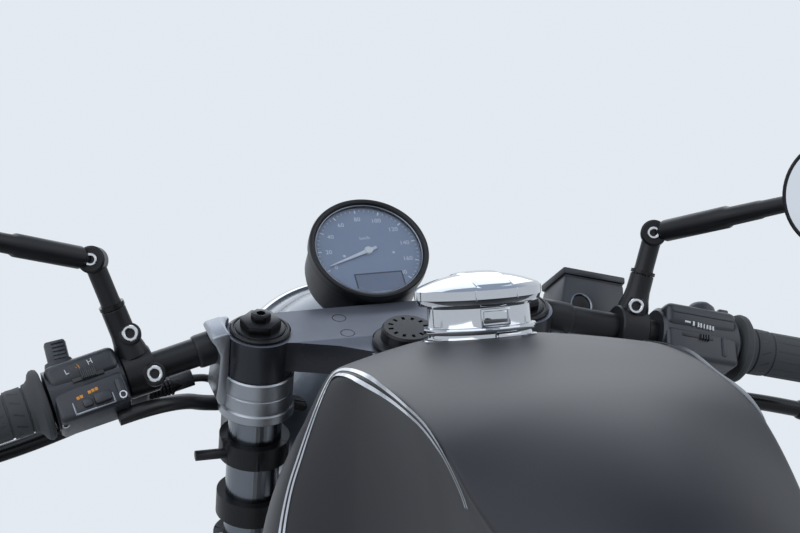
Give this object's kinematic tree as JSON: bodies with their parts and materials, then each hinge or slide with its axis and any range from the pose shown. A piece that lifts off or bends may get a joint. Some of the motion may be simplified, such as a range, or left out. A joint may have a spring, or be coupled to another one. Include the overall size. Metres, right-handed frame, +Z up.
{
  "type": "cafe racer motorcycle",
  "caption": "Road motorcycle with clip-on bars, round gauge, flip filler cap, humped solo seat, air-cooled engine, wire wheels and a centre stand.",
  "frame": {"origin": "on the ground under the middle of the machine's length and width", "axes": "+Z up, +Y the way the motorcycle heads, +X its right-hand side"},
  "size_m": [0.8194, 2.0779, 1.093],
  "materials": {
    "tyre": "matte",
    "rim": "polished",
    "disc_steel": "ground",
    "fork_tube": "hard chrome",
    "alloy": "satin",
    "black_alloy": "black anodised satin",
    "black_steel": "satin black",
    "black_plastic": "fine grain",
    "grip_rubber": "matte",
    "mirror_glass": "clear",
    "dial": "dial behind glass",
    "lamp_silver": "grey metallic",
    "lamp_glass": "clear",
    "frame_black": "gloss black",
    "engine_grey": "cast",
    "fin_black": "black",
    "exhaust_chrome": "polished",
    "tank_black": "gloss black with silver lines",
    "cap_chrome": "polished",
    "seat_leather": "matte black",
    "hump_grey": "gloss black",
    "spring": "satin black",
    "chain_steel": "oiled",
    "lamp_red": "red",
    "cable": "satin black"
  },
  "bodies": {
    "chassis": {"frame": "frame_black", "engine_cases": "engine_grey", "cylinders": "fin_black", "cylinder_head": "fin_black", "carburettors": "alloy", "exhaust": "exhaust_chrome", "fuel_tank": "tank_black", "filler_neck": "cap_chrome", "seat_pad": "seat_leather", "seat_hump": "hump_grey", "swingarm": "frame_black", "shocks": "spring", "rear_caliper": "black_alloy", "rear_fender": "frame_black", "tail_lamp": "lamp_red", "plate_bracket": "black_steel", "electrics_box": "black_plastic", "footrests": "alloy", "chain": "chain_steel"},
    "filler_flap": {"filler_lid": "cap_chrome"},
    "steering": {"top_yoke": "black_alloy", "lower_yoke": "black_alloy", "stem_nut": "black_alloy", "fork_caps": "black_alloy", "stanchions": "fork_tube", "fork_sliders": "alloy", "front_axle": "disc_steel", "clip_ons": "alloy", "handlebars": "black_steel", "grip_left": "grip_rubber", "grip_right": "grip_rubber", "switch_left": "black_plastic", "switch_right": "black_plastic", "clutch_lever": "black_steel", "brake_lever": "black_steel", "brake_reservoir": "black_plastic", "mirrors": "black_steel", "mirror_glass": "mirror_glass", "gauge_cup": "black_plastic", "gauge_face": "dial", "gauge_bracket": "black_steel", "headlamp_shell": "lamp_silver", "headlamp_lens": "lamp_glass", "lamp_ears": "black_alloy", "front_fender": "frame_black", "front_calipers": "black_alloy", "control_cables": "cable"},
    "front_wheel_body": {"front_tyre": "tyre", "front_wheel": "rim", "front_discs": "disc_steel"},
    "rear_wheel_body": {"rear_tyre": "tyre", "rear_wheel": "rim", "rear_sprocket": "disc_steel", "rear_disc": "disc_steel"},
    "stand": {"centre_stand": "black_steel"}
  },
  "joints": [
    {"name": "steering_turn", "type": "hinge", "parent": "chassis", "child": "steering", "pos_m": [0, 0.37749, 0.93], "axis": [0, -0.4384, 0.8988], "range_deg": [-27, 27]},
    {"name": "front_wheel_spin", "type": "hinge", "parent": "steering", "child": "front_wheel_body", "pos_m": [0, 0.72, 0.319], "axis": [-1, 0, 0], "continuous": true},
    {"name": "rear_wheel_spin", "type": "hinge", "parent": "chassis", "child": "rear_wheel_body", "pos_m": [0, -0.714, 0.345], "axis": [-1, 0, 0], "continuous": true},
    {"name": "stand_fold", "type": "hinge", "parent": "chassis", "child": "stand", "pos_m": [0, -0.212, 0.163], "axis": [-1, 0, 0], "range_deg": [0, 76]},
    {"name": "filler_lid_hinge", "type": "hinge", "parent": "chassis", "child": "filler_flap", "pos_m": [0, 0.25099, 0.9725], "axis": [-1, 0, 0], "range_deg": [0, 80]}
  ]
}
